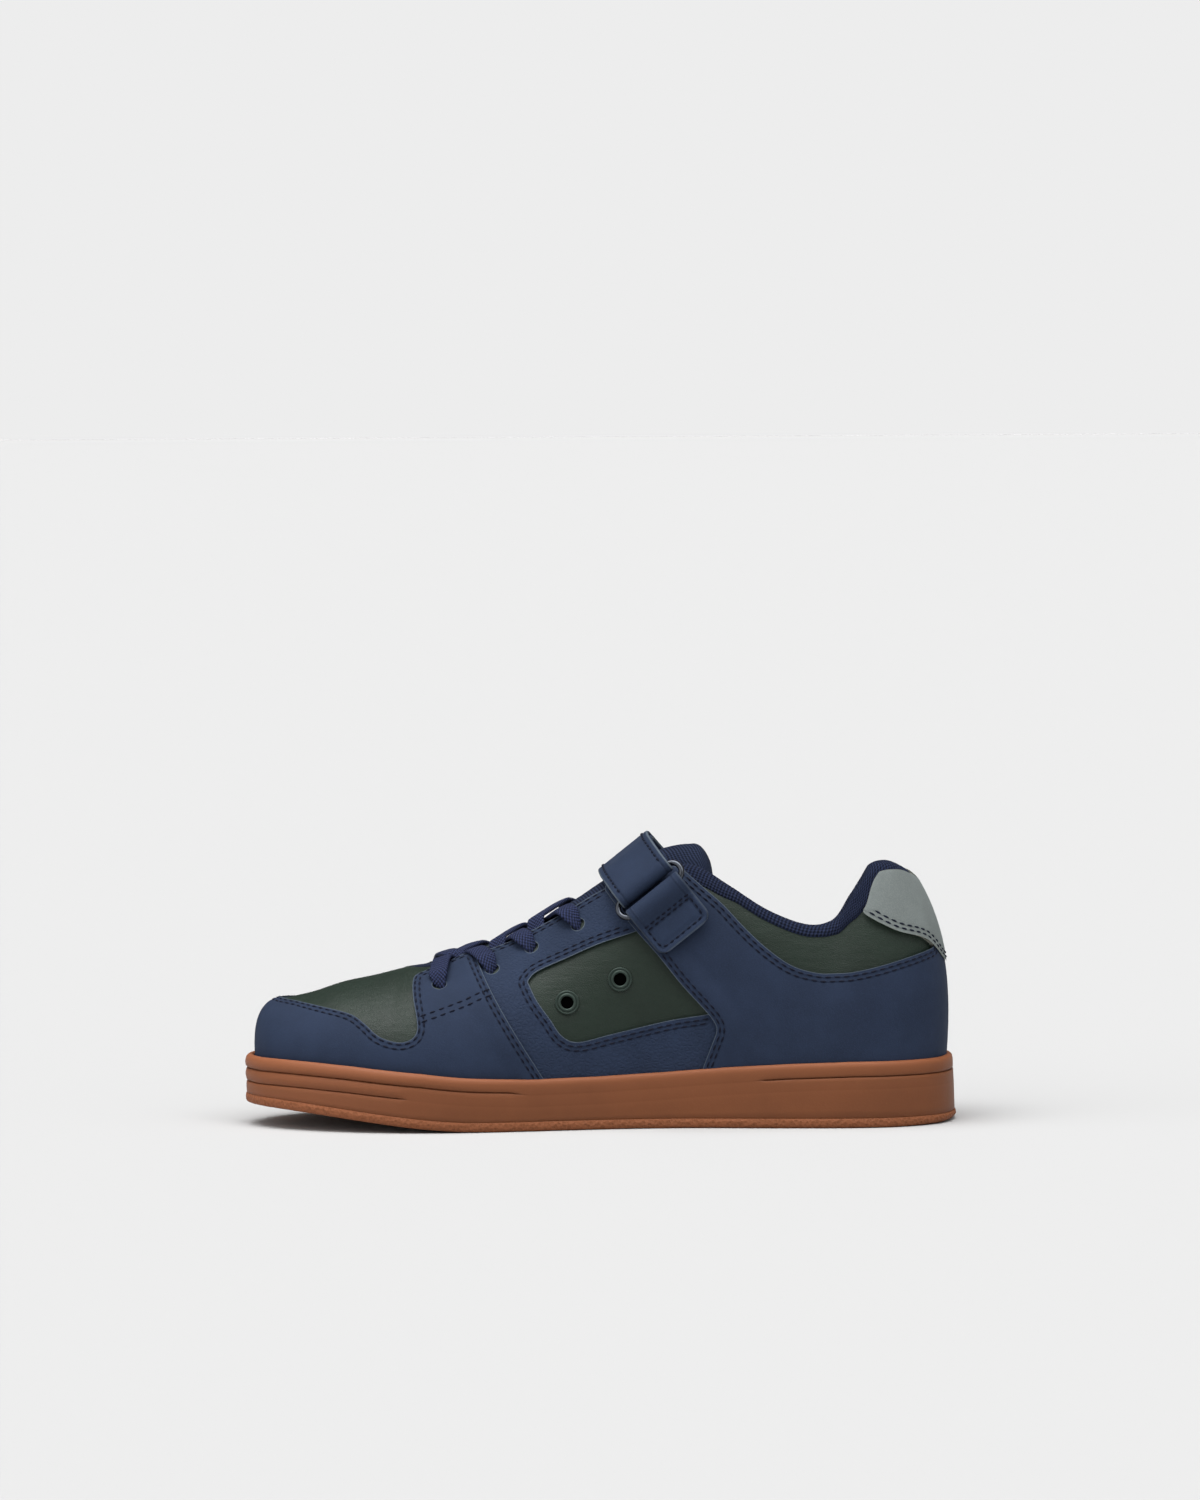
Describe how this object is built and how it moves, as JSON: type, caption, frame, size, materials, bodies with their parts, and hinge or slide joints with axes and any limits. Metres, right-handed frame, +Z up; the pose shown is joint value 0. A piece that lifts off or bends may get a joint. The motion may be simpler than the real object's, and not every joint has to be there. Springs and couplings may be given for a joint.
{
  "type": "skateboarding shoe",
  "caption": "Low child's skate shoe for the right foot, with a cupsole, leather overlays, padded collar, crossed laces and an instep strap through a ring.",
  "frame": {"origin": "middle of the sole's outline box, on the floor that the shoe stands on", "axes": "+X to the heel and -X to the toe, +Z up, -Y the inner (medial) side of the foot"},
  "size_m": [0.225, 0.0852, 0.0918],
  "materials": {
    "gum_rubber": "matte gum rubber",
    "navy_nubuck": "matte nubuck",
    "green_leather": "semi-gloss fine grain",
    "grey_nubuck": "matte nubuck",
    "navy_knit": "padded knit mesh",
    "navy_lace": "flat woven lace",
    "dark_enamel": "dark enamel on metal",
    "sock_fabric": "brushed fabric over foam"
  },
  "bodies": {
    "root": {"outsole": "gum_rubber", "insole": "sock_fabric", "upper": "green_leather", "toe_guard": "navy_nubuck", "eyestay_front_medial": "navy_nubuck", "eyestay_front_lateral": "navy_nubuck", "side_panel_medial": "navy_nubuck", "side_panel_lateral": "navy_nubuck", "heel_quarter": "navy_nubuck", "heel_tab": "grey_nubuck", "tongue": "navy_knit", "strap": "navy_nubuck", "ring_patch": "navy_nubuck", "strap_ring": "dark_enamel", "lace_cross_1": "navy_lace", "lace_cross_2": "navy_lace", "lace_cross_3": "navy_lace", "vent_eyelet_1": "dark_enamel", "vent_eyelet_2": "dark_enamel"}
  },
  "joints": []
}
